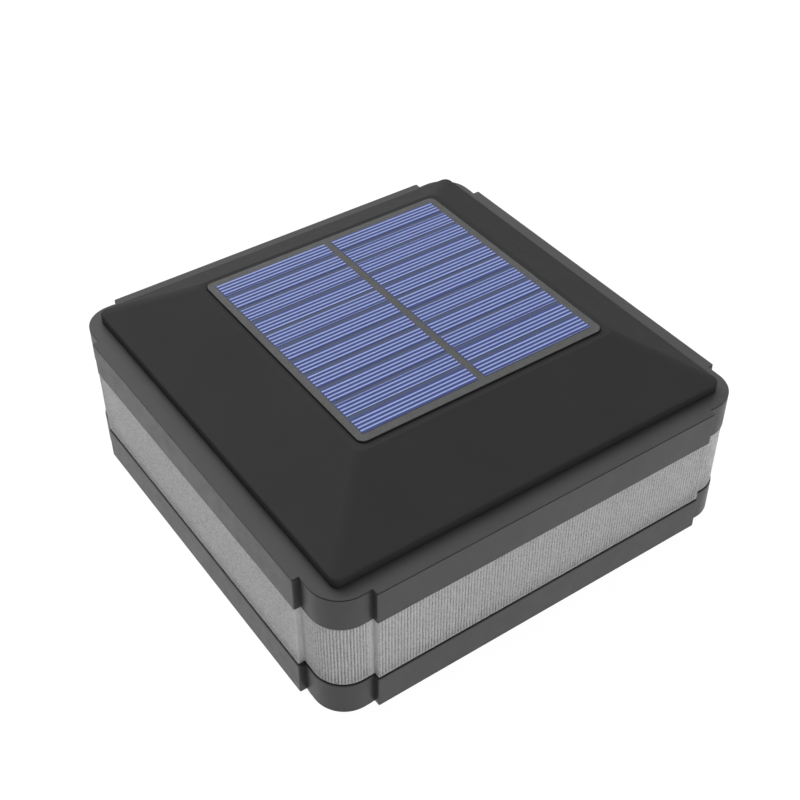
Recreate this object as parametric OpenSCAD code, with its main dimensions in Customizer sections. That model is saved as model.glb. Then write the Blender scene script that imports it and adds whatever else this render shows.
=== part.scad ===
// Solar cap light for a deck post: a base that sits over the post, a fluted light ring,
// and a head with the solar panel, the battery and the lamps.
// Millimetres. +Z is up, and the origin is at the middle of the base's underside.

/* [Outline] */
// Gap between the post socket and the outer band
band_gap = 4.5; // [3:0.1:8]
// Distance from a raised pad's end to the face of the next side's pad
pad_end = 15.8; // [12:0.2:24]
// Step from a raised pad down to the rounded corner
pad_step = 2; // [1:0.1:2.6]
// Radius of the rounded corners
corner_r = 10; // [9:0.5:13]
// Wall of the base band and of the head frame at the corners
band_wall = 2.4; // [2:0.1:3]

/* [Heights] */
// Height of the base band
base_h = 11.4; // [10:0.1:14]
// Thickness of the rubber ring between the base and the light ring
base_seal_t = 0.6; // [0.4:0.1:1]
// Height of the light ring that shows
diffuser_h = 23.2; // [22:0.1:30]
// Height of the head frame
frame_h = 12; // [11:0.1:15]
// Upright lip round the foot of the top cap
cap_lip_h = 3.4; // [2.6:0.1:4.4]
// Rise from the lip to the face of the solar panel
cap_rise = 15.2; // [14.4:0.1:18]

/* [Post socket] */
// Side of the square timber post
post_w = 88.9; // [80:0.1:95]
// Outer side of the hollow post sleeve
sleeve_w = 127; // [118:0.1:128]
// Gap round a post or sleeve in its socket, each side
post_gap = 0.6; // [0.4:0.1:1]
// Depth of the socket
post_depth = 17.6; // [15:0.1:18]
// Wall of the socket
cup_wall = 2; // [1.6:0.1:2.4]
// Inner corner radius of the socket
cup_r = 4; // [2:0.5:6]
// Thickness of the deck that rests on the post
deck_t = 2.4; // [2:0.1:3]
// Height and thickness of the ribs that hold a timber post
post_rib_h = 6; // [3:0.1:8]
post_rib_t = 1.6; // [1.2:0.1:2.4]
// Distance between the holes for the post screws
post_hole_span = 56; // [46:1:70]
// Diameter of those holes, and of their countersinks
post_hole_d = 4.5; // [4:0.1:5.5]
post_sink_d = 9; // [8:0.1:10]
// Thickness of the webs between the band and the socket, and how far they stand from the middle
web_t = 1.6; // [1.2:0.1:2.4]
web_at = 40; // [25:1:50]
// Thickness of the ledge that joins the band to the socket
ledge_t = 2; // [1.6:0.1:3]
// Thickness and height of the corner fins that centre the light ring
fin_t = 2.4; // [2:0.1:4]
fin_h = 5.6; // [4:0.1:6]

/* [Light ring] */
// Wall of the light ring
diffuser_wall = 2.2; // [1.8:0.1:2.6]
// How far the light ring stands behind the bands
diffuser_inset = 0.3; // [0.2:0.1:0.6]
// Thickness of the ring's top rim
rim_t = 2; // [1.6:0.1:2.4]
// Height and wall of the spigot inside the head frame
spigot_h = 3.6; // [3:0.1:5]
spigot_wall = 1.6; // [1.2:0.1:1.8]
// White sheet on the deck that throws the light outwards
reflector_t = 1; // [0.6:0.1:1.4]

/* [Head frame] */
// Thickness of the frame's top plate
frame_top_t = 2.4; // [2:0.1:3]
// How far the plate reaches under the top cap
frame_lap = 10; // [9:0.1:11]
// Distance of the tray screws from the outer face
tray_screw_inset = 11; // [10.6:0.1:11.4]
// Radius of the screw bosses
boss_r = 3.2; // [2.8:0.1:3.4]

/* [Top cap] */
// Width of the head frame's top that shows round the cap's foot
flange_w = 7; // [5:0.1:9]
// Margin of the cap round the panel, with its bevel
cap_margin = 2.8; // [2:0.1:5]
// Corner radius of the cap at its foot, and at its top
cap_foot_r = 3; // [2:0.1:4]
cap_top_r = 2.6; // [2:0.1:4]
// Height and inset of the bevel round the panel
cap_bevel_h = 0.3; // [0.2:0.1:0.8]
cap_bevel_w = 0.5; // [0.3:0.1:1]
// Wall of the cap, and width of its foot
cap_wall = 2.2; // [1.8:0.1:2.4]
cap_foot_w = 5.5; // [5:0.1:6]
// Thickness of the floor under the solar panel
cap_floor_t = 1.6; // [1.2:0.1:2]
// Diameter of the hole for the panel's leads
lead_hole_d = 12; // [10:0.5:16]
// Distance of the cap screws from the cap's outer face
cap_screw_inset = 8; // [7.8:0.1:8.6]
// Depth, width and inset of the seal in the cap's foot
cap_seal_t = 1.2; // [1:0.1:1.6]
cap_seal_w = 1.8; // [1.4:0.1:1.8]
cap_seal_inset = 2.4; // [2.2:0.1:2.6]

/* [Solar panel] */
// Side and corner radius of the panel
panel_w = 85; // [84:0.1:86]
panel_r = 2.3; // [1:0.1:4]
// Thickness of its clear face, its board and its tape
glaze_t = 0.4; // [0.3:0.1:0.8]
panel_board_t = 1.6; // [1.2:0.1:2]
tape_t = 0.8; // [0.5:0.1:1]
// Width of the tape
tape_w = 6; // [4:0.5:10]
// How far the panel's face stands above the cap
panel_proud = 1; // [0.6:0.05:1.2]
// Rows and columns of cells
cell_rows = 11; // [8:1:12]
cell_cols = 2; // [1:1:3]
// Plain border beside the cells
cell_border = 2.4; // [2:0.1:4]
// Plain border beyond the first and last row
cell_end_border = 2.9; // [2:0.1:4]
// Gap between rows, and between columns
cell_gap = 1.6; // [0.8:0.1:2]
cell_mid_gap = 2.4; // [1:0.1:3]
// Thickness of a cell
cell_t = 0.2; // [0.15:0.05:0.25]

/* [Tray] */
// Thickness of the white tray that closes the head
tray_t = 2; // [1.8:0.1:2.4]
// Distance of a lamp board's middle line from the outer face
led_inset = 18; // [17.8:0.1:22]
// How far a lamp board ends short of the next board's middle line
led_board_gap = 15; // [12:0.5:24]
// Width and thickness of a lamp board
led_board_w = 7; // [6:0.5:8]
led_board_t = 1.2; // [0.8:0.1:1.6]
// Lamps on each board
led_count = 5; // [3:1:8]
// Length, width and height of a lamp
led_l = 3.5; // [2.5:0.1:5]
led_w = 2.8; // [2:0.1:4]
led_h = 0.9; // [0.6:0.1:1.2]

/* [Battery] */
// Diameter and length of the cell
battery_d = 18.4; // [17:0.1:18.6]
battery_l = 65; // [60:0.1:66]
// Diameter and height of its positive nub
nub_d = 6; // [5:0.1:8]
nub_h = 1.2; // [0.8:0.1:1.6]
// Gap round the cell
battery_gap = 0.5; // [0.3:0.1:0.8]
// Place of the battery's axis across the tray
battery_y = -22; // [-24:0.5:-20]
// Wall of the battery box
bay_wall = 1.6; // [1.2:0.1:2]
// Thickness of the contact plates
contact_t = 0.5; // [0.3:0.1:0.8]
// Length, radius and turns of the contact spring, and its wire
spring_l = 6.5; // [5:0.1:8]
spring_r = 5; // [4:0.1:6]
spring_turns = 5; // [3:1:6]
spring_wire_d = 0.9; // [0.6:0.1:1]
// Thickness of the battery cover, and its border round the box's mouth
cover_t = 1.8; // [1.4:0.1:2]
cover_lap = 3; // [2.6:0.1:4]
// Length of the cover's screw ears
cover_ear = 7; // [6.6:0.1:8]
// Height and thickness of the cover's locating rib
cover_rib_h = 1.4; // [1:0.1:1.8]
cover_rib_t = 1.2; // [0.8:0.1:1.4]
// Thickness and width of the cover's seal
cover_seal_t = 0.6; // [0.4:0.1:0.8]
cover_seal_w = 1.8; // [1.2:0.1:2]
// How far the cover drops when it comes off
cover_travel = 8; // [6:0.1:8]

/* [Controls] */
// Size of the control board
board_l = 50; // [44:0.5:56]
board_w = 30; // [26:0.5:34]
board_t = 1.6; // [1.2:0.1:2]
// Place of the control board across the tray
board_y = 22; // [20:0.5:24]
// Height and radius of the posts under it
standoff_h = 4; // [3:0.1:5]
standoff_r = 3; // [2.6:0.1:3.4]
// Inset of its screws from its edges
board_screw_inset = 4; // [3.6:0.1:5]
// Size of the charge chip
chip_l = 8; // [6:0.1:10]
chip_w = 6; // [5:0.1:8]
chip_h = 1.8; // [1.2:0.1:2.4]
// Diameter and height of the coil
coil_d = 8; // [6:0.1:9]
coil_h = 5; // [4:0.1:7]
// Size and spacing of the lead sockets
socket_l = 5; // [4:0.1:6]
socket_w = 6; // [5:0.1:7]
socket_h = 6; // [5:0.1:7]
socket_step = 9; // [7:0.1:10]
// Distance of the slide switch from the middle line of the lamp board beside it
switch_inset = 9; // [8.6:0.1:12]
// Size of the switch housing, and of each screw ear
switch_l = 12.4; // [12.2:0.1:14]
switch_w = 6.4; // [6:0.1:8]
switch_h = 6; // [5:0.1:8]
switch_ear = 4.4; // [4:0.1:5]
switch_ear_t = 0.8; // [0.6:0.1:1.2]
// Travel of the switch knob
switch_travel = 4; // [3:0.1:4.2]
// Length and width of the knob, and how far it stands out
knob_l = 3.6; // [3:0.1:4]
knob_w = 2.8; // [2.4:0.1:3.2]
knob_out = 2.4; // [1.6:0.1:2.6]
// Length and height of the slider inside the housing
slider_l = 5.6; // [5:0.1:6]
slider_h = 2.2; // [1.8:0.1:2.6]

/* [Fasteners and leads] */
// Shank diameter of the case screws, and of the small screws
screw_d = 2.9; // [2.5:0.1:3]
small_screw_d = 2; // [1.6:0.1:2.2]
// Head diameter and height of the case screws
screw_head_d = 5.4; // [5:0.1:6]
screw_head_h = 1.8; // [1.4:0.1:2]
// Head diameter and height of the small screws
small_head_d = 3.6; // [3.2:0.1:4]
small_head_h = 1.2; // [0.8:0.1:1.4]
// Reach of each kind of screw beyond what it clamps
cap_screw_grip = 4.4; // [3.6:0.1:4.6]
tray_screw_grip = 6; // [4:0.1:8]
cover_screw_grip = 5; // [4:0.1:6]
board_screw_grip = 3.2; // [2.4:0.1:3.4]
// Depth and width of the cross in a screw head
cross_depth = 0.8; // [0.4:0.1:1]
cross_w = 0.7; // [0.5:0.1:0.8]
// Diameter of the leads, and the radius of their bends
lead_d = 1.2; // [1:0.1:1.4]
lead_bend = 1.6; // [1.5:0.1:1.8]

/* [Clearances] */
// Gap between parts that are pushed together
fit_gap = 0.3; // [0.2:0.05:0.4]
// Gap round a screw in its thread, and in a clearance hole
thread_gap = 0.05; // [0.02:0.01:0.1]
hole_gap = 0.3; // [0.2:0.05:0.4]

/* [Hidden] */

$fn = 64;
hull_fn = 32;
over = 0.5;

// Levels, from the underside up
seal_z = base_h;
ring_z = seal_z + base_seal_t;
frame_z = ring_z + diffuser_h;
flange_z = frame_z + frame_h;
lip_z = flange_z + cap_lip_h;
face_z = lip_z + cap_rise;
cap_z = face_z - panel_proud;
slope_z = cap_z - cap_bevel_h;
glaze_z = face_z - glaze_t;
panel_board_z = glaze_z - panel_board_t;
tape_z = panel_board_z - tape_t;
cap_floor_z = tape_z - cap_floor_t;
deck_top = post_depth + deck_t;
plate_z = flange_z - frame_top_t;
tray_top = frame_z - rim_t;
tray_z = tray_top - tray_t;

// Half widths, from the socket outwards
cup_in = sleeve_w / 2 + post_gap;
cup_out = cup_in + cup_wall;
cup_out_r = cup_r + cup_wall;
band_in = cup_out + band_gap;
band_half = band_in + band_wall;
band_in_r = corner_r - band_wall;
half_w = band_half + pad_step;
pad_len = 2 * (half_w - pad_end);
ring_half = half_w - diffuser_inset;
cap_w = 2 * (half_w - flange_w);
cap_top_w = panel_w + 2 * cap_margin;
spigot_out = band_in - fit_gap;
spigot_in = spigot_out - spigot_wall;
opening_half = cap_w / 2 - frame_lap;
cap_screw_at = cap_w / 2 - cap_screw_inset;
tray_screw_at = half_w - tray_screw_inset;
tray_half = ring_half - pad_step - diffuser_wall - fit_gap;
tray_r = corner_r - diffuser_inset - diffuser_wall - fit_gap;
pocket_half = panel_w / 2 + fit_gap / 2;

// Slope of the cap, and the inner face that runs beside it
slope_run = (cap_w - cap_top_w) / 2;
slope_rise = slope_z - lip_z;
slope_angle = atan(slope_rise / slope_run);
skin_run = cap_wall / sin(slope_angle);
foot_in = cap_w / 2 - cap_foot_w;
function cap_half_at(z) = cap_top_w / 2 + (slope_z - z) * slope_run / slope_rise;
function cap_height_at(half) = lip_z + (cap_w / 2 - half) * slope_rise / slope_run;
skirt_z = cap_height_at(foot_in + skin_run);

// Cells of the panel
cells_w = panel_w - 2 * cell_border;
cells_d = panel_w - 2 * cell_end_border;
cell_w = (cells_w - (cell_cols - 1) * cell_mid_gap) / cell_cols;
cell_pitch = (cells_d + cell_gap) / cell_rows;
cell_d = cell_pitch - cell_gap;

// Battery box
bay_l = battery_l + nub_h + spring_l + 2 * contact_t;
bay_w = battery_d + 2 * battery_gap;
cover_top = tray_z + cover_t;
cover_seat = cover_top + cover_seal_t;
battery_z = cover_seat + battery_gap + battery_d / 2;
bay_top = battery_z + battery_d / 2 + battery_gap;
battery_x = -bay_l / 2 + contact_t + spring_l;
cover_l = bay_l + 2 * cover_lap;
cover_w = bay_w + 2 * cover_lap;
cover_full_l = cover_l + 2 * cover_ear;
cover_screw_x = cover_l / 2 + cover_ear / 2;
cover_mount_h = cover_t + cover_seal_t + cover_screw_grip + over;

// Controls
board_z = tray_top + standoff_h;
board_top = board_z + board_t;
board_screw_x = board_l / 2 - board_screw_inset;
board_screw_y = board_w / 2 - board_screw_inset;
socket_y = board_y + board_w / 2 - socket_w / 2 - board_screw_inset / 2;
socket_shares = [-1.5, -0.5, 0.5, 1.5];
function socket_x(i) = socket_shares[i] * socket_step;
lead_r = lead_d / 2;
lead_pair = lead_d + fit_gap;
led_at = half_w - led_inset;
led_board_l = 2 * (led_at - led_board_gap);
switch_x = led_at - switch_inset;
knob_x = switch_x - switch_travel / 2;
led_z = tray_z - led_board_t;
post_hole_at = post_hole_span / 2;

// Square with rounded corners, by its half width and its corner radius
module round_square(half, r) {
    square([2 * half, 2 * (half - r)], center = true);
    square([2 * (half - r), 2 * half], center = true);
    for (x = [-1, 1], y = [-1, 1]) translate([x * (half - r), y * (half - r)]) circle(r);
}

module round_slab(half, r, z, h) {
    translate([0, 0, z]) linear_extrude(h) round_square(half, r);
}

// Plan of the bands, with a raised pad on each side, drawn in by an inset
module band_plan(inset, trim = 0) {
    pad_run = pad_len - 2 * trim;
    round_square(band_half - inset, corner_r - inset);
    square([pad_run, 2 * (half_w - inset)], center = true);
    square([2 * (half_w - inset), pad_run], center = true);
}

module four_corners(at) {
    for (x = [-1, 1], y = [-1, 1]) translate([x * at, y * at, 0]) children();
}

module four_sides(at) {
    for (a = [0, 90, 180, 270]) rotate(a) translate([at, 0, 0]) children();
}

module box(size_x, size_y, z, h) {
    translate([-size_x / 2, -size_y / 2, z]) cube([size_x, size_y, h]);
}

// Pan head screw that points up from z, with a cross in its head below z
module screw_up(z, shank_d, grip, head_d, head_h) {
    translate([0, 0, z]) cylinder(h = grip, d = shank_d);
    difference() {
        translate([0, 0, z - head_h]) cylinder(h = head_h, d = head_d);
        translate([0, 0, z - head_h - over]) {
            box(head_d / 2, cross_w, 0, cross_depth + over);
            box(cross_w, head_d / 2, 0, cross_depth + over);
        }
    }
}

// The same screw, pointing down from z
module screw_down(z, shank_d, grip, head_d, head_h) {
    translate([0, 0, 2 * z]) mirror([0, 0, 1]) screw_up(z, shank_d, grip, head_d, head_h);
}

// Tube of one radius along a path of points
function unit(v) = v / norm(v);
function tangent(path, i) = unit(path[min(i + 1, len(path) - 1)] - path[max(i - 1, 0)]);
function carried(path, i, v) = i == len(path) ? [] :
    let (t = tangent(path, i), w = unit(v - t * (v * t))) concat([w], carried(path, i + 1, w));
function start_side(t) = abs(t.x) > abs(t.z) ? [t.y, -t.x, 0] : [0, t.z, -t.y];
module tube(path, r, sides) {
    last = len(path) - 1;
    across = carried(path, 0, start_side(tangent(path, 0)));
    points = [for (i = [0 : last], k = [0 : sides - 1]) let (a = 360 * k / sides)
        path[i] + r * cos(a) * across[i] + r * sin(a) * cross(tangent(path, i), across[i])];
    walls = [for (i = [0 : last - 1], k = [0 : sides - 1])
        let (a = i * sides + k, b = i * sides + (k + 1) % sides)
        for (f = [[b, a, a + sides], [b + sides, b, a + sides]]) f];
    start = [for (k = [1 : sides - 2]) [0, k, k + 1]];
    finish = [for (k = [1 : sides - 2]) [last * sides, last * sides + k + 1, last * sides + k]];
    polyhedron(points, concat(walls, start, finish));
}

// Round lead through a list of points, with a rounded bend at each point between
bend_steps = 6;
lead_sides = 10;
function way(points, i) = unit(points[i + 1] - points[i]);
function bend(points, i) =
    let (come = way(points, i - 1), go = way(points, i), angle = acos(come * go),
        side = unit(go - come * (come * go)),
        middle = points[i] - lead_bend * tan(angle / 2) * come + lead_bend * side)
    [for (k = [0 : bend_steps]) let (a = angle * k / bend_steps)
        middle - lead_bend * cos(a) * side + lead_bend * sin(a) * come];
module lead(points) {
    last = len(points) - 1;
    bends = [for (i = [1 : last - 1]) for (p = bend(points, i)) p];
    tube(concat([points[0]], bends, [points[last]]), lead_r, lead_sides);
}

// Base: band, ledge, and the socket with its deck
module base_frame() {
    color("#4e4f51") difference() {
        union() {
            difference() {
                linear_extrude(base_h) band_plan(0);
                round_slab(band_in, band_in_r, -over, base_h - ledge_t + over);
                round_slab(cup_in, cup_r, 0, base_h + over);
            }
            difference() {
                round_slab(cup_out, cup_out_r, 0, deck_top);
                round_slab(cup_in, cup_r, -over, post_depth + over);
            }
            difference() {
                box(post_w + 2 * (post_gap + post_rib_t), post_w + 2 * (post_gap + post_rib_t),
                    post_depth - post_rib_h, post_rib_h + over);
                box(post_w + 2 * post_gap, post_w + 2 * post_gap,
                    post_depth - post_rib_h - over, post_rib_h + over);
            }
            for (side = [-1, 0, 1]) four_sides(0)
                translate([cup_out - over, side * web_at - web_t / 2, 0])
                    cube([band_in - cup_out + 2 * over, web_t, base_h - over]);
            corner_fins();
        }
        four_corners(post_hole_at) {
            translate([0, 0, post_depth - over]) cylinder(h = deck_t + 2 * over, d = post_hole_d);
            translate([0, 0, deck_top - post_sink_h()])
                cylinder(h = post_sink_h(), d1 = post_hole_d, d2 = post_sink_d);
        }
    }
}

function post_sink_h() = deck_t / 2;

// Fins at the socket's corners, which the light ring drops over
module corner_fins() {
    cup_diagonal = (cup_out - cup_out_r) * sqrt(2) + cup_out_r;
    ring_r = corner_r - diffuser_inset - diffuser_wall;
    ring_diagonal = (ring_half - pad_step - diffuser_wall - ring_r) * sqrt(2) + ring_r;
    for (a = [45 : 90 : 315]) rotate(a)
        translate([cup_diagonal - cup_wall, -fin_t / 2, ring_z + fit_gap])
            cube([ring_diagonal - cup_diagonal + cup_wall - fit_gap, fin_t, fin_h]);
}

module base_seal() {
    color("#1c1c1d") translate([0, 0, seal_z]) linear_extrude(base_seal_t) difference() {
        band_plan(2 * diffuser_inset);
        round_square(cup_out + fit_gap, cup_out_r + fit_gap);
    }
}

module reflector_sheet() {
    color("#f2f2ee") difference() {
        round_slab(cup_out - fit_gap, cup_out_r - fit_gap, deck_top, reflector_t);
        four_corners(post_hole_at) translate([0, 0, deck_top - over])
            cylinder(h = reflector_t + 2 * over, d = post_sink_d + 2 * fit_gap);
    }
}

module diffuser_ring() {
    color("#c9c9c6", 0.8) difference() {
        union() {
            translate([0, 0, ring_z]) linear_extrude(diffuser_h) band_plan(diffuser_inset);
            round_slab(spigot_out, band_in_r - fit_gap, frame_z - over, spigot_h + over);
        }
        translate([0, 0, ring_z - over]) linear_extrude(diffuser_h - rim_t + over)
            band_plan(diffuser_inset + diffuser_wall, diffuser_wall);
        round_slab(spigot_in, band_in_r - fit_gap - spigot_wall, ring_z, diffuser_h + spigot_h + over);
    }
}

module head_frame() {
    color("#515254") difference() {
        union() {
            difference() {
                translate([0, 0, frame_z]) linear_extrude(frame_h) band_plan(0);
                round_slab(band_in, band_in_r, frame_z - over, plate_z - frame_z + over);
            }
            four_sides(tray_screw_at) translate([0, 0, tray_top])
                cylinder(h = plate_z - tray_top + over, r = boss_r);
        }
        round_slab(opening_half, corner_r - boss_r, plate_z - over, frame_top_t + 2 * over);
        four_sides(tray_screw_at) translate([0, 0, tray_top - over])
            cylinder(h = tray_screw_grip + 2 * over, d = screw_d + 2 * thread_gap);
        four_corners(cap_screw_at) translate([0, 0, plate_z - over])
            cylinder(h = frame_top_t + 2 * over, d = screw_d + 2 * hole_gap);
    }
}

// Outer form of the cap, or with drawn-in walls its hollow
module cap_form(foot_half, foot_z, lip, top_half, top_z) {
    hull() {
        translate([0, 0, foot_z]) linear_extrude(lip - foot_z)
            round_square(foot_half, cap_foot_r, $fn = hull_fn);
        translate([0, 0, top_z]) linear_extrude(over / 100)
            round_square(top_half, cap_top_r, $fn = hull_fn);
    }
}

module top_cap() {
    color("#2e2e2f") difference() {
        union() {
            difference() {
                union() {
                    cap_form(cap_w / 2, flange_z, lip_z, cap_top_w / 2, slope_z);
                    cap_form(cap_top_w / 2, slope_z - over, slope_z, cap_top_w / 2 - cap_bevel_w, cap_z);
                }
                cap_form(foot_in, flange_z - over, skirt_z,
                    cap_half_at(cap_floor_z) - skin_run, cap_floor_z);
            }
            four_corners(cap_screw_at) translate([0, 0, flange_z])
                cylinder(h = cap_height_at(cap_screw_at + boss_r) - flange_z - cap_wall / 4, r = boss_r);
        }
        round_slab(pocket_half, panel_r, tape_z, cap_z - tape_z + over);
        translate([0, 0, cap_floor_z - over]) cylinder(h = cap_floor_t + 2 * over, d = lead_hole_d);
        four_corners(cap_screw_at) translate([0, 0, flange_z - over])
            cylinder(h = cap_screw_grip + 1.5 * over, d = screw_d + 2 * thread_gap);
        translate([0, 0, flange_z - over]) linear_extrude(cap_seal_t + over) seal_plan(0);
    }
}

// Plan of the seal groove in the cap's foot, or of the seal with a gap round it
module seal_plan(gap) {
    outer = cap_w / 2 - cap_seal_inset;
    difference() {
        round_square(outer - gap, cap_foot_r - gap);
        round_square(outer - cap_seal_w + gap, cap_foot_r - cap_seal_w + gap);
    }
}

module cap_seal() {
    color("#242425") translate([0, 0, flange_z]) linear_extrude(cap_seal_t) seal_plan(thread_gap);
}

module cap_screws() {
    color("#b9babc") four_corners(cap_screw_at)
        screw_up(plate_z, screw_d, frame_top_t + cap_screw_grip, screw_head_d, screw_head_h);
}

module panel_tape() {
    color("#e4e2dc") difference() {
        round_slab(panel_w / 2, panel_r, tape_z, tape_t);
        box(panel_w - 2 * tape_w, panel_w - 2 * tape_w, tape_z - over, tape_t + 2 * over);
    }
}

module panel_board() {
    color("#5a5a55") round_slab(panel_w / 2, panel_r, panel_board_z, panel_board_t);
}

module cell_layout() {
    for (c = [0 : cell_cols - 1], r = [0 : cell_rows - 1])
        translate([-cells_w / 2 + c * (cell_w + cell_mid_gap), -cells_d / 2 + r * cell_pitch, glaze_z])
            cube([cell_w, cell_d, cell_t]);
}

module solar_cells() {
    color("#3f4f96") cell_layout();
}

module panel_glaze() {
    color("#9aa6c8", 0.35) difference() {
        round_slab(panel_w / 2, panel_r, glaze_z, glaze_t);
        cell_layout();
    }
}

// Tray: plate, battery box, posts for the board, and the switch slot
module light_tray() {
    color("#eeeeea") difference() {
        union() {
            round_slab(tray_half, tray_r, tray_z, tray_t);
            translate([0, battery_y, 0]) {
                box(cover_full_l + 2 * bay_wall, cover_w + 2 * bay_wall,
                    tray_z, cover_seat - tray_z + tray_t);
                box(bay_l + 2 * bay_wall, bay_w + 2 * bay_wall, tray_z, bay_top + bay_wall - tray_z);
                for (x = [-1, 1]) translate([x * cover_screw_x, 0, tray_z])
                    cylinder(h = cover_mount_h + bay_wall, r = boss_r);
            }
            board_places() translate([0, 0, tray_z]) cylinder(h = board_z - tray_z, r = standoff_r);
        }
        translate([0, battery_y, 0]) {
            box(cover_full_l + 2 * fit_gap, cover_w + 2 * fit_gap,
                tray_z - over, cover_seat - tray_z + over);
            box(bay_l, bay_w, tray_z - over, bay_top - tray_z + over);
            for (x = [-1, 1]) translate([x * cover_screw_x, 0, tray_z - over])
                cylinder(h = cover_mount_h + over, d = small_screw_d + 2 * thread_gap);
            battery_lead_holes();
        }
        four_sides(tray_screw_at) translate([0, 0, tray_z - over])
            cylinder(h = tray_t + 2 * over, d = screw_d + 2 * hole_gap);
        board_places() translate([0, 0, board_z - board_screw_grip - over])
            cylinder(h = board_screw_grip + 2 * over, d = small_screw_d + 2 * thread_gap);
        translate([switch_x, 0, 0]) {
            box(knob_l + switch_travel + 2 * fit_gap, knob_w + 2 * fit_gap,
                tray_z - over, tray_t + 2 * over);
            for (x = [-1, 1]) translate([x * switch_screw_x(), 0, tray_z - over])
                cylinder(h = tray_t + 2 * over, d = small_screw_d + 2 * thread_gap);
        }
        lamp_lead_places() translate([0, 0, tray_z - over])
            cylinder(h = tray_t + 2 * over, r = lead_r + fit_gap);
    }
}

module board_places() {
    for (x = [-1, 1], y = [-1, 1])
        translate([x * board_screw_x, board_y + y * board_screw_y, 0]) children();
}

module tray_screws() {
    color("#b9babc") four_sides(tray_screw_at)
        screw_up(tray_z, screw_d, tray_t + tray_screw_grip, screw_head_d, screw_head_h);
}

module lamp_boards() {
    color("#dfe2e0") four_sides(led_at) box(led_board_w, led_board_l, led_z, led_board_t);
}

module lamps() {
    led_step = led_board_l / led_count;
    color("#f3e28a") four_sides(led_at) for (i = [0 : led_count - 1])
        translate([0, (i - (led_count - 1) / 2) * led_step, 0]) box(led_w, led_l, led_z - led_h, led_h);
}

module battery_cell() {
    color("#2f6f8f") translate([battery_x, battery_y, battery_z]) rotate([0, 90, 0]) {
        cylinder(h = battery_l, d = battery_d);
        translate([0, 0, battery_l]) cylinder(h = nub_h, d = nub_d);
    }
}

// Contact spring: a helix that narrows towards the cell
spring_steps = 16;
spring_sides = 8;
spring_wire_r = spring_wire_d / 2;
spring_start = thread_gap + spring_wire_r;
spring_run = spring_l - 2 * spring_start;
function spring_point(t, a) =
    [spring_start + t * spring_run, spring_r * (1 - t / 3) * cos(a), spring_r * (1 - t / 3) * sin(a)];
module battery_spring() {
    last = spring_steps * spring_turns;
    path = [for (i = [0 : last]) spring_point(i / last, 360 * i / spring_steps)];
    color("#c8c9cb") translate([battery_x - spring_l, battery_y, battery_z])
        tube(path, spring_wire_r, spring_sides);
}

// Contact plate against an end wall of the battery box, above the cover's rib
module contact_plate(x) {
    plate_w = bay_w - 2 * battery_gap;
    plate_z = cover_top + cover_rib_h + fit_gap;
    color("#d0b15a") translate([x, battery_y - plate_w / 2, plate_z])
        cube([contact_t, plate_w, bay_top - battery_gap - plate_z]);
}

module negative_plate() {
    contact_plate(-bay_l / 2);
}

module positive_plate() {
    contact_plate(bay_l / 2 - contact_t);
}

// Battery cover: plate with screw ears, and a rib that sits in the box's mouth
module battery_cover() {
    rib_l = bay_l - 2 * fit_gap;
    rib_w = bay_w - 2 * fit_gap;
    color("#e6e6e2") translate([0, battery_y, 0]) difference() {
        union() {
            box(cover_full_l, cover_w, tray_z, cover_t);
            difference() {
                box(rib_l, rib_w, cover_top - over, cover_rib_h + over);
                box(rib_l - 2 * cover_rib_t, rib_w - 2 * cover_rib_t,
                    cover_top - over, cover_rib_h + 3 * over);
                translate([0, 0, battery_z]) rotate([0, 90, 0])
                    cylinder(h = bay_l, d = battery_d + 2 * fit_gap, center = true);
            }
        }
        for (x = [-1, 1]) translate([x * cover_screw_x, 0, tray_z - over])
            cylinder(h = cover_t + 2 * over, d = small_screw_d + 2 * thread_gap);
    }
}

module cover_seal() {
    seal_l = bay_l + 2 * (fit_gap + cover_seal_w);
    seal_w = bay_w + 2 * (fit_gap + cover_seal_w);
    color("#8b8d90") translate([0, battery_y, 0]) difference() {
        box(seal_l, seal_w, cover_top, cover_seal_t);
        box(seal_l - 2 * cover_seal_w, seal_w - 2 * cover_seal_w,
            cover_top - over, cover_seal_t + 2 * over);
    }
}

module cover_screws() {
    color("#b9babc") for (x = [-1, 1]) translate([x * cover_screw_x, battery_y, 0])
        screw_up(tray_z, small_screw_d, cover_t + cover_seal_t + cover_screw_grip,
            small_head_d, small_head_h);
}

module control_board() {
    color("#2f6b45") difference() {
        translate([0, board_y, 0]) box(board_l, board_w, board_z, board_t);
        board_places() translate([0, 0, board_z - over])
            cylinder(h = board_t + 2 * over, d = small_screw_d + 2 * hole_gap);
    }
}

module charge_chip() {
    color("#1b1b1c") translate([-board_l / 4, board_y - board_w / 6, 0])
        box(chip_l, chip_w, board_top, chip_h);
}

module power_coil() {
    color("#3a3a3c") translate([board_l / 6, board_y - board_w / 6, board_top]) difference() {
        cylinder(h = coil_h, d = coil_d);
        translate([0, 0, coil_h - over]) cylinder(h = 2 * over, d = coil_d / 2);
    }
}

module lead_sockets() {
    color("#e9e7df") for (i = [0 : 3]) translate([socket_x(i), socket_y, 0])
        box(socket_l, socket_w, board_top, socket_h);
}

module board_screws() {
    color("#b9babc") board_places()
        screw_down(board_top, small_screw_d, board_t + board_screw_grip, small_head_d, small_head_h);
}

function switch_screw_x() = switch_l / 2 + switch_ear / 2;

module switch_housing() {
    slider_room = slider_l + switch_travel + 2 * fit_gap;
    color("#c4c6c8") translate([switch_x, 0, 0]) difference() {
        union() {
            box(switch_l, switch_w, tray_top, switch_h);
            box(switch_l + 2 * switch_ear, switch_w, tray_top, switch_ear_t);
        }
        box(slider_room, knob_w + 2 * fit_gap, tray_top - over, slider_h + 2 * fit_gap + over);
        for (x = [-1, 1]) translate([x * switch_screw_x(), 0, tray_top - over])
            cylinder(h = switch_ear_t + 2 * over, d = small_screw_d + 2 * thread_gap);
    }
}

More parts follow.
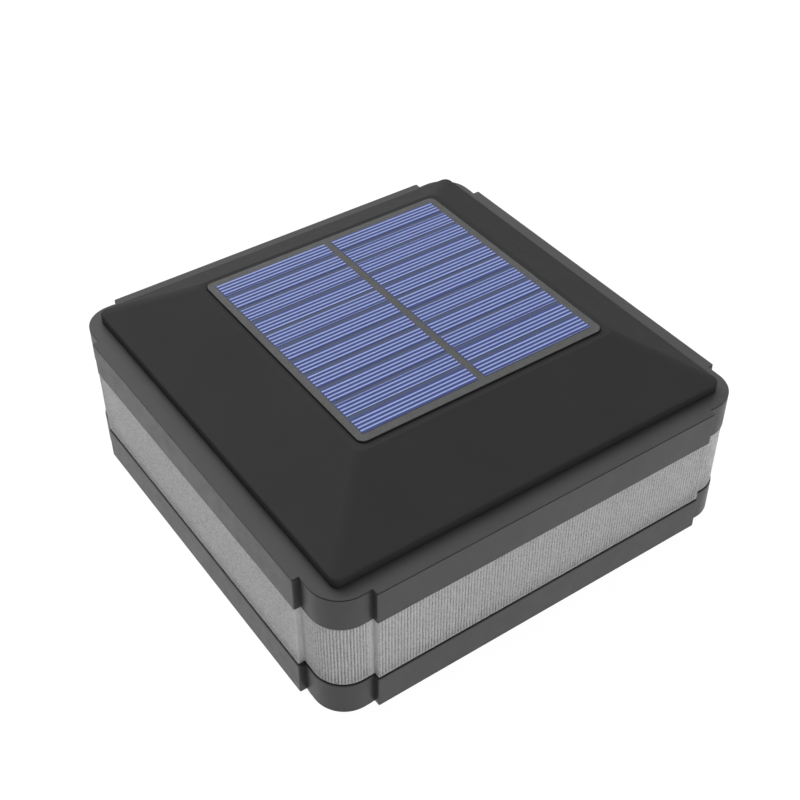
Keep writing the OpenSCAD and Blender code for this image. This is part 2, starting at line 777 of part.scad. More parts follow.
module switch_knob() {
    color("#1f1f20") translate([knob_x, 0, 0]) {
        box(slider_l, knob_w, tray_top + fit_gap, slider_h);
        box(knob_l, knob_w, tray_z - knob_out, tray_t + knob_out + slider_h);
    }
}

module switch_screws() {
    color("#b9babc") for (x = [-1, 1]) translate([switch_x + x * switch_screw_x(), 0, 0])
        screw_down(tray_top + switch_ear_t, small_screw_d, switch_ear_t + tray_t - fit_gap,
            small_head_d, small_head_h);
}

// Leads, each pair from its own socket on the control board
socket_top = board_top + socket_h;
lead_rise = 3 * lead_d;
function socket_exit(i, side) = [socket_x(i) + side * lead_pair / 2, socket_y, socket_top];
function above(p, rise) = [p.x, p.y, p.z + rise];

module panel_leads() {
    color("#a33030") for (side = [-1, 1]) {
        out = socket_exit(1, side);
        top = [side * lead_pair, 0, panel_board_z];
        lead([out, above(out, lead_rise), [top.x, top.y, cap_floor_z - lead_rise], top]);
    }
}

// Where the battery's leads leave the box, by its end walls
battery_lead_z = bay_top - lead_d;
module battery_lead_holes() {
    for (x = [-1, 1]) translate([x * (bay_l / 2 - contact_t - over), 0, battery_lead_z])
        rotate([0, x * 90, 0]) cylinder(h = bay_wall + contact_t + 2 * over, r = lead_r + fit_gap / 2);
}

module battery_leads() {
    color("#7a2626") for (side = [-1, 1]) {
        out = socket_exit(side < 0 ? 0 : 3, 0);
        clear_y = battery_y + bay_w / 2 + bay_wall + lead_d;
        start = [side * bay_l / 2, battery_y, battery_lead_z];
        turn = [start.x + side * (bay_wall + lead_d), start.y, start.z];
        lead([start, turn, [turn.x, clear_y, turn.z], above(out, lead_rise), out]);
    }
}

lamp_lead_y = led_at - led_board_w / 2 - 2 * lead_d;
module lamp_lead_places() {
    for (side = [-1, 1]) translate([side * lead_pair / 2, lamp_lead_y, 0]) children();
}

// Feed to one lamp board, and links round the corners to the others
module lamp_leads() {
    color("#c9c4b0") for (side = [-1, 1]) {
        out = socket_exit(2, side);
        down = [side * lead_pair / 2, lamp_lead_y, tray_z - lead_d];
        lead([out, above(out, lead_rise), [down.x, down.y, socket_top + lead_rise], down,
            [down.x, led_at - led_board_w / 2, down.z]]);
        at = led_at + side * lead_pair;
        for (a = [0, 90, 180]) rotate(a)
            lead([[at, led_board_l / 2, tray_z - lead_r], [at, at, tray_z - lead_r],
                [led_board_l / 2, at, tray_z - lead_r]]);
    }
}

module switch_leads() {
    color("#3b4a3f") for (side = [-1, 1]) {
        foot = [switch_x + side * switch_l / 4, 0, tray_top + switch_h];
        pad = [board_screw_x, board_y + side * lead_pair, board_top];
        lead([foot, above(foot, lead_rise), [pad.x, pad.y, foot.z + lead_rise], pad]);
    }
}

base_frame();
base_seal();
reflector_sheet();
diffuser_ring();
head_frame();
top_cap();
cap_seal();
cap_screws();
panel_tape();
panel_board();
solar_cells();
panel_glaze();
light_tray();
tray_screws();
lamp_boards();
lamps();
battery_cell();
battery_spring();
negative_plate();
positive_plate();
battery_cover();
cover_seal();
cover_screws();
control_board();
charge_chip();
power_coil();
lead_sockets();
board_screws();
switch_housing();
switch_knob();
switch_screws();
panel_leads();
battery_leads();
lamp_leads();
switch_leads();
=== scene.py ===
import math

import bmesh
import bpy
from mathutils import Matrix, Vector
from mathutils.geometry import tessellate_polygon


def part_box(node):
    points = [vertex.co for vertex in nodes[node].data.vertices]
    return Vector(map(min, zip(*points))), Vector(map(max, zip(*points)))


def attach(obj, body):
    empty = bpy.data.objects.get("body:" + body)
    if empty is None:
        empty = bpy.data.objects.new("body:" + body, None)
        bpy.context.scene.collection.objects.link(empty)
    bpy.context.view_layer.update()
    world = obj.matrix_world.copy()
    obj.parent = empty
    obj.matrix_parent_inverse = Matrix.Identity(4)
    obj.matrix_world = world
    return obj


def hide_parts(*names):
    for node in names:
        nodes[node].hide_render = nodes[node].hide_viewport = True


# Solar cap light for a deck post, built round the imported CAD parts. The shells that show are
# made again here with rounded edges, ribs and cells, and ride on the same bodies.

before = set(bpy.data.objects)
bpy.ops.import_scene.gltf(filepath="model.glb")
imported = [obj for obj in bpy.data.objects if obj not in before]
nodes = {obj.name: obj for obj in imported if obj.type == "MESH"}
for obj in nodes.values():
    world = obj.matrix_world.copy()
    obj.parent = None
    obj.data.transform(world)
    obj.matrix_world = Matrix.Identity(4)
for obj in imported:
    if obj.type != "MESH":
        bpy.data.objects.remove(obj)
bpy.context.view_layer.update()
mm = 0.001
print("frame loaded:", len(nodes), "nodes")

# sizes that the shells share, as in the part
outline = dict(
    padStep=2.0 * mm,      # from a pad down to the rounded corner
    padEnds=(16.4 * mm, 15.4 * mm),   # from a pad's end to the next side's face, on the X and Y sides
    padRoom=2.0 * mm,      # least room between a pad's end and the corner
    padRound=(0.04 * mm, 0.15),       # rounding of a pad's end: the least, and the share of its step
    corner=10.0 * mm,      # radius of the rounded corners
    wall=2.4 * mm,         # wall of the two bands
    edge=0.35 * mm,        # rounding of moulded edges
    grooveWide=0.7 * mm,   # shallow recess at the foot of each pad's end
    grooveDeep=0.1 * mm,
    grooveRamp=0.8 * mm,   # from the recess back up to the band's face
    bossDrop=2.0 * mm,     # the head frame's bosses hang this far below its band
    bite=0.2 * mm,         # overlap of the parts of one moulding
)
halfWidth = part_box("base_frame")[1].x
recessHalf = halfWidth - outline["padStep"]
padHalves = [halfWidth - end for end in outline["padEnds"]]
bandInner = recessHalf - outline["wall"]
roundSides = 32            # facets round a hole or a boss
padTurns, cornerTurns, plainTurns = 4, 8, 30   # steps round a pad's edge, a plate's and a band's corner

# camera at the photo's angle
view = dict(azimuth=-35.036, elevation=41.459, roll=0.043, distance=430.61 * mm,
            aim=(0.13 * mm, 0.25 * mm, 28.21 * mm), lens=61.413)


def aimCamera():
    az, el = math.radians(view["azimuth"]), math.radians(view["elevation"])
    back = Vector((math.sin(az) * math.cos(el), -math.cos(az) * math.cos(el), math.sin(el)))
    right = back.cross(Vector((0, 0, -1))).normalized()
    up = back.cross(right)
    turn = Matrix((right, up, back)).transposed().to_4x4()
    cam = bpy.data.cameras.new("camera")
    cam.lens = view["lens"]
    cam.clip_start = 0.01
    obj = bpy.data.objects.new("camera", cam)
    bpy.context.scene.collection.objects.link(obj)
    roll = Matrix.Rotation(math.radians(view["roll"]), 4, "Z")
    obj.matrix_world = Matrix.Translation(Vector(view["aim"]) + back * view["distance"]) @ turn @ roll
    bpy.context.scene.camera = obj


aimCamera()


# shader helpers

def newMaterial(name):
    mat = bpy.data.materials.new(name)
    mat.use_nodes = True
    tree = mat.node_tree
    tree.nodes.clear()
    return mat, tree, tree.nodes.new("ShaderNodeOutputMaterial")


def node(tree, kind, **values):
    made = tree.nodes.new("ShaderNode" + kind)
    for key, value in values.items():
        if key in made.inputs:
            made.inputs[key].default_value = value
        else:
            setattr(made, key, value)
    return made


def texture(tree, kind, output, **values):
    coord = node(tree, "TexCoord")
    tex = node(tree, kind, **values)
    tree.links.new(coord.outputs["Object"], tex.inputs["Vector"])
    return tex.outputs[output]


def noise(tree, scale, detail=3.0, rough=0.5):
    return texture(tree, "TexNoise", "Fac", Scale=scale, Detail=detail, Roughness=rough)


def pores(tree, scale):
    return texture(tree, "TexVoronoi", "Distance", Scale=scale)


def lines(tree, scale, direction):
    return texture(tree, "TexWave", "Fac", Scale=scale, bands_direction=direction)


def spread(tree, value, lowTo, highTo, lowFrom=0.3, highFrom=0.7):
    ramp = node(tree, "MapRange")
    ramp.inputs["From Min"].default_value = lowFrom
    ramp.inputs["From Max"].default_value = highFrom
    ramp.inputs["To Min"].default_value = lowTo
    ramp.inputs["To Max"].default_value = highTo
    tree.links.new(value, ramp.inputs["Value"])
    return ramp.outputs["Result"]


def mixed(tree, factor, a, b):
    mix = node(tree, "Mix", data_type="RGBA")
    colours = [k for k in mix.inputs if k.type == "RGBA"]
    tree.links.new(factor, mix.inputs["Factor"])
    for socket, value in zip(colours, (a, b)):
        if isinstance(value, tuple):
            socket.default_value = (*value, 1)
        else:
            tree.links.new(value, socket)
    return [k for k in mix.outputs if k.type == "RGBA"][0]


def joined(tree, a, b, operation="MULTIPLY"):
    made = node(tree, "Math", operation=operation)
    for socket, value in zip(made.inputs, (a, b)):
        if isinstance(value, (int, float)):
            socket.default_value = value
        else:
            tree.links.new(value, socket)
    return made.outputs["Value"]


def bumped(tree, body, height, strength, depth, edge=0.0):
    bump = node(tree, "Bump", Strength=strength, Distance=depth)
    tree.links.new(height, bump.inputs["Height"])
    if edge:
        soft = node(tree, "Bevel", samples=4, Radius=edge)
        tree.links.new(soft.outputs["Normal"], bump.inputs["Normal"])
    tree.links.new(bump.outputs["Normal"], body.inputs["Normal"])


def newSurface(name, **values):
    mat, tree, out = newMaterial(name)
    body = node(tree, "BsdfPrincipled", **values)
    tree.links.new(body.outputs["BSDF"], out.inputs["Surface"])
    return mat, tree, body


# a display level from 0 to 255 as a linear value
def level(value):
    v = value / 255
    return v / 12.92 if v <= 0.04045 else ((v + 0.055) / 1.055) ** 2.4


def rgb(red, green, blue):
    return level(red), level(green), level(blue)


def shade(colour, times, more=0.0):
    return tuple(min(1, c * times + more) for c in colour)


shadedEdge = dict(plastic=0.2 * mm, metal=0.1 * mm)     # how far the shading rounds an edge


# moulded plastic: slow change of tone, paler edges as wear and as a painted edge highlight, painted
# shade in creases, moulding grain
def plastic(name, colour, roughness=0.5, grain=0.3, grainSize=0.35 * mm, specular=0.5,
            vary=0.07, wearAndHighlight=0.12, creaseShade=0.0, reach=4 * mm):
    mat, tree, body = newSurface(name)
    body.inputs["Specular IOR Level"].default_value = specular
    slow = spread(tree, noise(tree, 45, 3), 0, 1)
    tone = mixed(tree, slow, shade(colour, 1 - vary), shade(colour, 1 + vary))
    geo = node(tree, "NewGeometry")
    # paler edges where pointiness is high: wear and a painted edge highlight
    rubbedAndHighlit = spread(tree, geo.outputs["Pointiness"], 0, wearAndHighlight, 0.53, 0.62)
    tone = mixed(tree, rubbedAndHighlit, tone, shade(colour, 1.6, 0.02))
    # painted shade: the colour darkens where ambient occlusion finds creases, recesses and nearby parts
    if creaseShade:
        openness = node(tree, "AmbientOcclusion", samples=8, Distance=reach)
        lit = spread(tree, openness.outputs["AO"], 1 - creaseShade, 1, 0.3, 0.95)
        tone = mixed(tree, lit, (0.0, 0.0, 0.0), tone)
    tree.links.new(tone, body.inputs["Base Color"])
    marks = spread(tree, noise(tree, 260, 4, 0.6), roughness - 0.05, roughness + 0.05)
    tree.links.new(marks, body.inputs["Roughness"])
    bumped(tree, body, noise(tree, 1 / grainSize, 2), grain, 0.02 * mm, shadedEdge["plastic"])
    return mat


def metal(name, colour, roughness):
    mat, tree, body = newSurface(name, Metallic=1.0)
    marks = noise(tree, 900, 3, 0.6)
    tree.links.new(spread(tree, marks, roughness - 0.1, roughness + 0.12), body.inputs["Roughness"])
    stain = spread(tree, noise(tree, 320, 4), 0, 1)
    tree.links.new(mixed(tree, stain, shade(colour, 0.82), colour), body.inputs["Base Color"])
    bumped(tree, body, marks, 0.25, 0.01 * mm, shadedEdge["metal"])
    return mat


def foam(name, colour, cell):
    mat, tree, body = newSurface(name, Roughness=0.9)
    body.inputs["Specular IOR Level"].default_value = 0.15
    holes = pores(tree, 1 / cell)
    # pore centres darker: painted shade in the pores
    deep = spread(tree, holes, 0, 1, 0.1, 0.5)
    tree.links.new(mixed(tree, deep, shade(colour, 0.55), colour), body.inputs["Base Color"])
    bumped(tree, body, holes, 0.6, 0.15 * mm)
    return mat


# print or film: patches a little darker than the rest, and a fine grain
def mottled(name, colour, dark, roughness, patchScale, grainScale, strength):
    mat, tree, body = newSurface(name, Roughness=roughness)
    patch = spread(tree, noise(tree, patchScale, 3), 0, 1)
    tree.links.new(mixed(tree, patch, shade(colour, dark), colour), body.inputs["Base Color"])
    bumped(tree, body, noise(tree, grainScale, 2), strength, 0.01 * mm)
    return mat


# mesh helpers

def arc(cx, cy, radius, startDeg, endDeg, count):
    turns = [startDeg + (endDeg - startDeg) * i / count for i in range(count + 1)]
    return [(cx + radius * math.cos(math.radians(a)), cy + radius * math.sin(math.radians(a)))
            for a in turns]


def circle(x, y, radius, z):
    turns = [2 * math.pi * k / roundSides for k in range(roundSides)]
    return [(x + radius * math.cos(a), y + radius * math.sin(a), z) for a in turns]


def squarePlan(half, corner):
    side = half - corner
    points = []
    for turn, (cx, cy) in enumerate([(side, -side), (side, side), (-side, side), (-side, -side)]):
        points += arc(cx, cy, corner, turn * 90 - 90, turn * 90, cornerTurns)
    return points


# Plan of a band at one station: a rounded square with a pad on each side. Each station gives
# the same number of points, even where it has no pads, recess or ribs, so the rings join up.
def bandPlan(s, ribs=None):
    half, corner, step, groove, rib = s[0], s[2], s[3], s[4], s[5]
    straight, face = half - corner, half + step
    least, share = outline["padRound"]
    r = min(outline["edge"], least + step * share)
    padRibs, cornerRibs, each = ribs or (1, 0, 1)

    def inset(u):
        return rib * (1 - abs(math.sin(math.pi * u)))

    def padEnd(padAt):
        foot = padAt + outline["grooveWide"]
        return arc(face - r, padAt - r, r, 0, 90, padTurns) + [
            (half - groove, padAt), (half - groove, foot), (half, foot + outline["grooveRamp"])]

    def quarter(padAt, nextAt):
        run = 2 * (padAt - r)
        count = padRibs * each
        pad = [(face - inset(i / each), -padAt + r + run * i / count) for i in range(count)]
        end, nextEnd = padEnd(padAt), padEnd(nextAt)
        first, bend = straight - end[-1][1], corner * math.pi / 2
        whole = first + bend + straight - nextEnd[-1][1]
        turns = cornerRibs * each or plainTurns
        band = []
        for i in range(1, turns):
            at = whole * i / turns
            d = inset(i / each) if cornerRibs else 0
            if at < first:
                band.append((half - d, end[-1][1] + at))
            elif at > first + bend:
                band.append((nextEnd[-1][1] + whole - at, half - d))
            else:
                a, out = (at - first) / corner, corner - d
                band.append((straight + out * math.cos(a), straight + out * math.sin(a)))
        return pad + end + band + [(y, x) for x, y in reversed(nextEnd[1:])]

    ats = [min(at - (recessHalf - half), straight - outline["padRoom"]) for at in padHalves]
    points = []
    for turn in range(4):
        c, k = round(math.cos(turn * math.pi / 2)), round(math.sin(turn * math.pi / 2))
        points += [(c * x - k * y, k * x + c * y) for x, y in quarter(ats[turn % 2], ats[1 - turn % 2])]
    return points


# one station of a section; soft is how much its corner is rounded
def station(half, z, corner, step=0.0, groove=0.0, rib=0.0, soft=0.0):
    return half, z, corner, step, groove, rib, soft


# rounds a closed section where its stations are soft
def roundSection(stations, steps=4):
    made = []
    count = len(stations)
    for i, here in enumerate(stations):
        if not here[6]:
            made.append(here[:6])
            continue
        ends = []
        for other in (stations[i - 1], stations[(i + 1) % count]):
            away = math.hypot(other[0] - here[0], other[1] - here[1])
            share = min(here[6] / away, 0.45)
            ends.append([a + (b - a) * share for a, b in zip(here[:6], other[:6])])
        for k in range(steps + 1):
            t = k / steps
            made.append(tuple((1 - t) ** 2 * a + 2 * t * (1 - t) * p + t * t * b
                              for a, p, b in zip(ends[0], here[:6], ends[1])))
    return made


# quads between two rings of the same count, which start at points a and b
def strip(a, b, count):
    return [(a + k, a + (k + 1) % count, b + (k + 1) % count, b + k) for k in range(count)]


def loft(stations, plan):
    rings = [[(x, y, s[1]) for x, y in plan(s)] for s in stations]
    count = len(rings[0])
    faces = []
    for i in range(len(rings)):
        faces += strip(i * count, (i + 1) % len(rings) * count, count)
    return [p for ring in rings for p in ring], faces


# flat plate with softened edges; a hole is (x, y, [(radius, z), ...]) from its low end up
def plate(plan, low, high, soft, holes=()):
    rings = [[(x, y, z) for x, y in plan(d)] for d, z in
             ((soft, low), (0, low + soft), (0, high - soft), (soft, high))]
    count = len(rings[0])
    verts = [p for ring in rings for p in ring]
    faces = [face for i in range(3) for face in strip(i * count, (i + 1) * count, count)]
    lowLoops, highLoops = [list(range(count))], [list(range(3 * count, 4 * count))]
    for x, y, profile in holes:
        start = len(verts)
        for radius, z in profile:
            verts += circle(x, y, radius, z)
        last = len(verts) - roundSides
        for a in range(start, last, roundSides):
            b = a + roundSides
            faces += [(a + k, b + k, b + (k + 1) % roundSides, a + (k + 1) % roundSides)
                      for k in range(roundSides)]
        lowLoops.append(list(range(start, start + roundSides)))
        highLoops.append(list(range(last, last + roundSides)))
    for loops, up in ((lowLoops, False), (highLoops, True)):
        order = [i for loop in loops for i in loop]
        for tri in tessellate_polygon([[Vector(verts[i]) for i in loop] for loop in loops]):
            a, b, c = (Vector(verts[order[i]]) for i in tri)
            flip = ((b - a).cross(c - a).z > 0) != up
            made = tuple(order[i] for i in tri)
            faces.append(tuple(reversed(made)) if flip else made)
    return verts, faces


def softBox(lowCorner, highCorner, soft, segments=2):
    bm = bmesh.new()
    bmesh.ops.create_cube(bm, size=1)
    a, b = Vector(lowCorner), Vector(highCorner)
    for v in bm.verts:
        v.co = Vector([(p + q) / 2 + c * (q - p) for p, q, c in zip(a, b, v.co)])
    bmesh.ops.bevel(bm, geom=list(bm.edges), offset=min(soft, min(b - a) * 0.4),
                    segments=segments, profile=0.5, affect="EDGES")
    bm.verts.index_update()
    made = [tuple(v.co) for v in bm.verts], [tuple(v.index for v in f.verts) for f in bm.faces]
    bm.free()
    return made


# turned form: (radius, z) profile round an upright axis
def turned(x, y, profile):
    verts = [point for r, z in profile for point in circle(x, y, r, z)]
    last = len(verts) - roundSides
    faces = [face for a in range(0, last, roundSides) for face in strip(a, a + roundSides, roundSides)]
    return verts, faces + [tuple(reversed(range(roundSides))), tuple(range(last, len(verts)))]


# joins (points, faces) pairs into one piece; a third value is the pair's material number
def makePiece(name, meshes, materials, body, replaces, smooth=30, marks=None):
    verts, faces, kinds = [], [], []
    for part in meshes:
        start = len(verts)
        verts += part[0]
        faces += [tuple(start + k for k in face) for face in part[1]]
        kinds += [part[2] if len(part) > 2 else 0] * len(part[1])
    mesh = bpy.data.meshes.new(name)
    mesh.from_pydata([Vector(v) for v in verts], [], faces)
    for mat in materials:
        mesh.materials.append(mat)
    for face, kind in zip(mesh.polygons, kinds):
        face.material_index = kind
    if marks:
        mesh.attributes.new("rib", "FLOAT", "POINT").data.foreach_set("value", marks)
    mesh.update()
    mesh.shade_smooth()
    mesh.set_sharp_from_angle(angle=math.radians(smooth))
    piece = bpy.data.objects.new(name, mesh)
    bpy.context.scene.collection.objects.link(piece)
    flat = piece.modifiers.new("flatFaces", "WEIGHTED_NORMAL")   # keeps broad faces flat
    flat.keep_sharp = True
    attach(piece, body)
    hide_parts(*replaces)


def dress(mat, *names):
    for name in names:
        nodes[name].data.materials.clear()
        nodes[name].data.materials.append(mat)


# base: band, ledge, post socket with its deck, ribs and webs
base = dict(
    colour=rgb(60, 60, 60), roughness=0.42, grain=0.35,
    ledge=2.0 * mm, insideEdge=0.3 * mm,
    land=0.9 * mm,         # flat top of the band that still follows the pads
    gap=4.5 * mm,          # between the band and the socket
    socketWall=2.0 * mm, socketCorner=4.0 * mm,
    deck=2.4 * mm, deckEdge=0.05 * mm, postHole=2.25 * mm, sink=4.5 * mm, holeAt=28.0 * mm,
    rib=1.6 * mm, ribAt=45.05 * mm, ribDrop=6.0 * mm, ribEdge=0.3 * mm,
    tuck=0.04 * mm,        # keeps crossing ribs off one plane
    web=1.6 * mm, webAt=40.0 * mm, webFoot=0.1 * mm, webBite=0.3 * mm, webEdge=0.2 * mm,
    fin=1.6 * mm, finFoot=0.9 * mm, finHigh=6.6 * mm, finLong=4.6 * mm, finBite=1.0 * mm,
    finEdge=0.2 * mm,
)
# frame plastic with painted shade in its creases, grooves and next to the cap's lip
framePlastic = plastic("framePlastic", base["colour"], base["roughness"], base["grain"], specular=0.35,
                       creaseShade=0.45, reach=1.7 * mm)


def makeBase():
    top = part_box("base_seal")[0].z
    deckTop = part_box("reflector_sheet")[0].z
    deckLow = deckTop - base["deck"]
    e, r, step, dip = outline["edge"], outline["corner"], outline["padStep"], outline["grooveDeep"]
    land, bite, innerR = base["land"], outline["bite"], outline["corner"] - outline["wall"]
    cupOut = bandInner - base["gap"]
    cupIn = cupOut - base["socketWall"]
    cupR = base["socketCorner"] + base["socketWall"]
    ledge = top - base["ledge"]
    band = roundSection([
        station(recessHalf, 0, r, step, dip, 0, e), station(recessHalf, top, r, step, dip, 0, e),
        station(recessHalf - land, top, r - land, step, dip),
        station(cupOut - bite, top, cupR), station(cupOut - bite, ledge, cupR),
        station(bandInner, ledge, innerR, soft=base["insideEdge"]),
        station(bandInner, 0, innerR, soft=e)])
    cup = roundSection([
        station(cupOut, 0, cupR, soft=e), station(cupOut, deckTop, cupR, soft=e),
        station(cupIn, deckTop, base["socketCorner"]), station(cupIn, 0, base["socketCorner"], soft=e)])
    parts = [loft(band, bandPlan), loft(cup, bandPlan)]

    at, small, wide = base["holeAt"], base["postHole"], base["sink"]
    holes = [(x, y, [(small, deckLow), (small, deckTop - base["deck"] / 2), (wide, deckTop)])
             for x in (-at, at) for y in (-at, at)]
    parts.append(plate(lambda d: squarePlan(cupIn + bite / 2 - d, base["socketCorner"]),
                       deckLow, deckTop, base["deckEdge"], holes))

    a, t, tuck, soft = base["ribAt"], base["rib"], base["tuck"], base["ribEdge"]
    low, high = deckLow - base["ribDrop"], deckLow + bite
    for side in (-1, 1):
        x0, x1 = sorted((side * a, side * (a + t)))
        parts.append(softBox((x0, -a - t, low), (x1, a + t, high), soft))
        parts.append(softBox((-a - t / 2, x0 + tuck, low + tuck), (a + t / 2, x1 - tuck, high), soft))

    w, soft = base["web"] / 2, base["webEdge"]
    low, high = base["webFoot"], ledge + bite
    for side in (-1, 1):
        x0, x1 = sorted((side * (cupOut - base["webBite"]), side * (bandInner + base["webBite"])))
        for along in (-base["webAt"], 0, base["webAt"]):
            parts.append(softBox((x0, along - w, low), (x1, along + w, high), soft))
            parts.append(softBox((along - w, x0, low), (along + w, x1, high), soft))
    makePiece("base_shell", parts + cornerFins(cupOut - cupR, cupR, top), [framePlastic], "base",
              ["base_frame"])


# thin fins at the socket's corners, which the light ring drops over
def cornerFins(centre, radius, top):
    low, high, half = top + base["finFoot"], top + base["finHigh"], base["fin"] / 2
    near = centre * math.sqrt(2) + radius - base["finBite"]
    far = near + base["finLong"]
    made = []
    for turn in range(4):
        a = math.radians(45 + 90 * turn)
        verts, faces = softBox((near, -half, low), (far, half, high), base["finEdge"])
        made.append(([(x * math.cos(a) - y * math.sin(a), x * math.sin(a) + y * math.cos(a), z)
                      for x, y, z in verts], faces))
    return made


makeBase()
print("base made")

# light ring: fine upright ribs outside, smooth inside, and a spigot that goes up into the head
ring = dict(
    # colour is the crest tone, a painted highlight; valleyShade is painted shade between the ribs
    colour=rgb(244, 244, 244), valleyShade=rgb(176, 176, 176), roughness=0.42, clear=0.56,
    inset=0.3 * mm, wall=2.2 * mm, rim=2.0 * mm, edge=0.2 * mm,
    spigotPlay=0.3 * mm, spigotWall=1.6 * mm,
    padRibs=116, cornerRibs=22, ribDepth=0.4 * mm,
    ribFoot=0.5 * mm, ribTop=0.3 * mm,     # plain strips below and above the ribs
    each=6,                                # points to each rib
    plainMark=0.7,                         # "rib" value where there are no ribs
)


def diffuserPlastic():
    mat, tree, body = newSurface("diffuserPlastic", IOR=1.49)
    body.inputs["Transmission Weight"].default_value = ring["clear"]
    body.inputs["Specular IOR Level"].default_value = 0.4
    # painted light on the ribs: crests lighter, the ground between them in painted shade, with random
    # specks
    rib = node(tree, "Attribute", attribute_name="rib")
    speck = spread(tree, noise(tree, 1700, 1), -0.35, 0.5, 0.32, 0.68)
    pale = joined(tree, speck, rib.outputs["Fac"], "ADD")
    tree.links.new(mixed(tree, pale, ring["valleyShade"], ring["colour"]), body.inputs["Base Color"])
    rough = spread(tree, noise(tree, 420, 3), ring["roughness"] - 0.08, ring["roughness"] + 0.08)
    tree.links.new(rough, body.inputs["Roughness"])
    bumped(tree, body, noise(tree, 2600, 1), 0.16, 0.02 * mm)
    return mat


def makeRing():
    low, top = (corner.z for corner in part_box("diffuser_ring"))
    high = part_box("head_frame")[0].z + outline["bossDrop"]
    step, soft, deep = outline["padStep"], ring["edge"], ring["ribDepth"]
    outer, r = recessHalf - ring["inset"], outline["corner"] - ring["inset"]
    inner, innerR = outer - ring["wall"], r - ring["wall"]
    spigot = bandInner - ring["spigotPlay"]
    spigotR = outline["corner"] - outline["wall"] - ring["spigotPlay"]
    bore, boreR = spigot - ring["spigotWall"], spigotR - ring["spigotWall"]
    rim = high - ring["rim"]
    rings = roundSection([
        station(outer, low, r, step, soft=soft),
        station(outer, low + ring["ribFoot"], r, step, 0, deep),
        station(outer, high - ring["ribTop"], r, step, 0, deep),
        station(outer, high, r, step, soft=soft),
        station(spigot, high, spigotR), station(spigot, top, spigotR, soft=outline["edge"]),
        station(bore, top, boreR, soft=outline["edge"]), station(bore, rim, boreR),
        station(inner, rim, innerR, step), station(inner, low, innerR, step, soft=soft)], steps=2)
    ribs = (ring["padRibs"], ring["cornerRibs"], ring["each"])
    shell = loft(rings, lambda s: bandPlan(s, ribs))
    # how far out on its rib each point lies, from 0 at a rib's foot to 1 on its crest; the ring's
    # colour paints shade and highlight by it
    marks = []
    for s in rings:
        for (x, y), (a, b) in zip(bandPlan(s, ribs), bandPlan((*s[:5], 0), ribs)):
            marks.append(1 - math.hypot(x - a, y - b) / deep if s[5] else ring["plainMark"])
    makePiece("light_ring", [shell], [diffuserPlastic()], "head", ["diffuser_ring"],
              smooth=50, marks=marks)


makeRing()
print("light ring made")

# head frame: upper band with the flange that the cap stands on
head = dict(
    line=0.35 * mm, lineDown=0.15 * mm,       # thin line round the band's top edge
    lineDeep=0.28 * mm, lineShift=0.22 * mm,  # the shift cuts it deeper on the -X side
    lineEdge=0.05 * mm, rim=0.45 * mm, rimEdge=0.1 * mm, insideEdge=0.3 * mm,
    flange=2.4 * mm, opening=58.0 * mm, openingCorner=6.8 * mm,
    boss=3.2 * mm, bossEdge=0.3 * mm, bossAt=64.0 * mm,
)


def makeHeadFrame():
    low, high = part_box("head_frame")
    top, bottom = high.z, low.z + outline["bossDrop"]
    under = top - head["flange"]
    e, r, step, dip = outline["edge"], outline["corner"], outline["padStep"], outline["grooveDeep"]
    innerR, rim = outline["corner"] - outline["wall"], head["rim"]
    lineTop = top - head["lineDown"]
    lineLow = lineTop - head["line"]
    cut, cutR, soft = recessHalf - head["lineDeep"], r - head["lineDeep"], head["lineEdge"]
    stations = roundSection([
        station(recessHalf, bottom, r, step, dip, 0, e),
        station(recessHalf, lineLow, r, step, dip), station(cut, lineLow + soft, cutR, step, dip),
        station(cut, lineTop - soft, cutR, step, dip), station(recessHalf, lineTop, r, step, dip),
        station(recessHalf, top, r, step, dip, 0, head["rimEdge"]),
        station(recessHalf - rim, top, r - rim, step, dip),
        station(head["opening"], top, head["openingCorner"], soft=e),
        station(head["opening"], under, head["openingCorner"], soft=e),
        station(bandInner, under, innerR, soft=head["insideEdge"]),
        station(bandInner, bottom, innerR, soft=e)])

    def plan(s):
        shift = head["lineShift"] if lineLow < s[1] < lineTop else 0
        return [(x + shift, y) for x, y in bandPlan(s)]

    at, b, soft = head["bossAt"], head["boss"], head["bossEdge"]
    boss = [(b - soft, low.z), (b, low.z + soft), (b, under + outline["bite"])]
    bosses = [turned(x, y, boss) for x, y in ((at, 0), (0, at), (-at, 0), (0, -at))]
    makePiece("head_frame_shell", [loft(stations, plan)] + bosses, [framePlastic], "head",
              ["head_frame"])


makeHeadFrame()
print("head frame made")

# top cap: lip, four slopes, bevel and the pocket that the panel sits in
cap = dict(
    colour=rgb(56, 56, 56), roughness=0.75,
    footCorner=2.2 * mm, topHalf=45.3 * mm, topCorner=2.6 * mm, bevel=0.5 * mm, bevelDrop=0.3 * mm,
    lip=3.4 * mm, lipRound=0.5 * mm, footEdge=0.3 * mm, slopeEdge=0.2 * mm,
    pocket=42.65 * mm, pocketCorner=2.3 * mm, pocketEdge=0.12 * mm,
    pocketBite=0.3 * mm, pocketDrop=0.1 * mm,     # how the walls run into the pocket's floor
    wall=4.2 * mm, footIn=62.5 * mm, footInCorner=3.0 * mm, insideEdge=0.4 * mm,
    floor=1.6 * mm, floorEdge=0.02 * mm, leadHole=6.0 * mm,
    boss=3.2 * mm, bossHigh=4.0 * mm, bossAt=60.0 * mm,
)
# cap plastic with painted shade on its lip and in its creases
capPlastic = plastic("capPlastic", cap["colour"], cap["roughness"], 0.45, 0.4 * mm, specular=0.02,
                     vary=0.03, wearAndHighlight=0.06, creaseShade=0.55, reach=5 * mm)


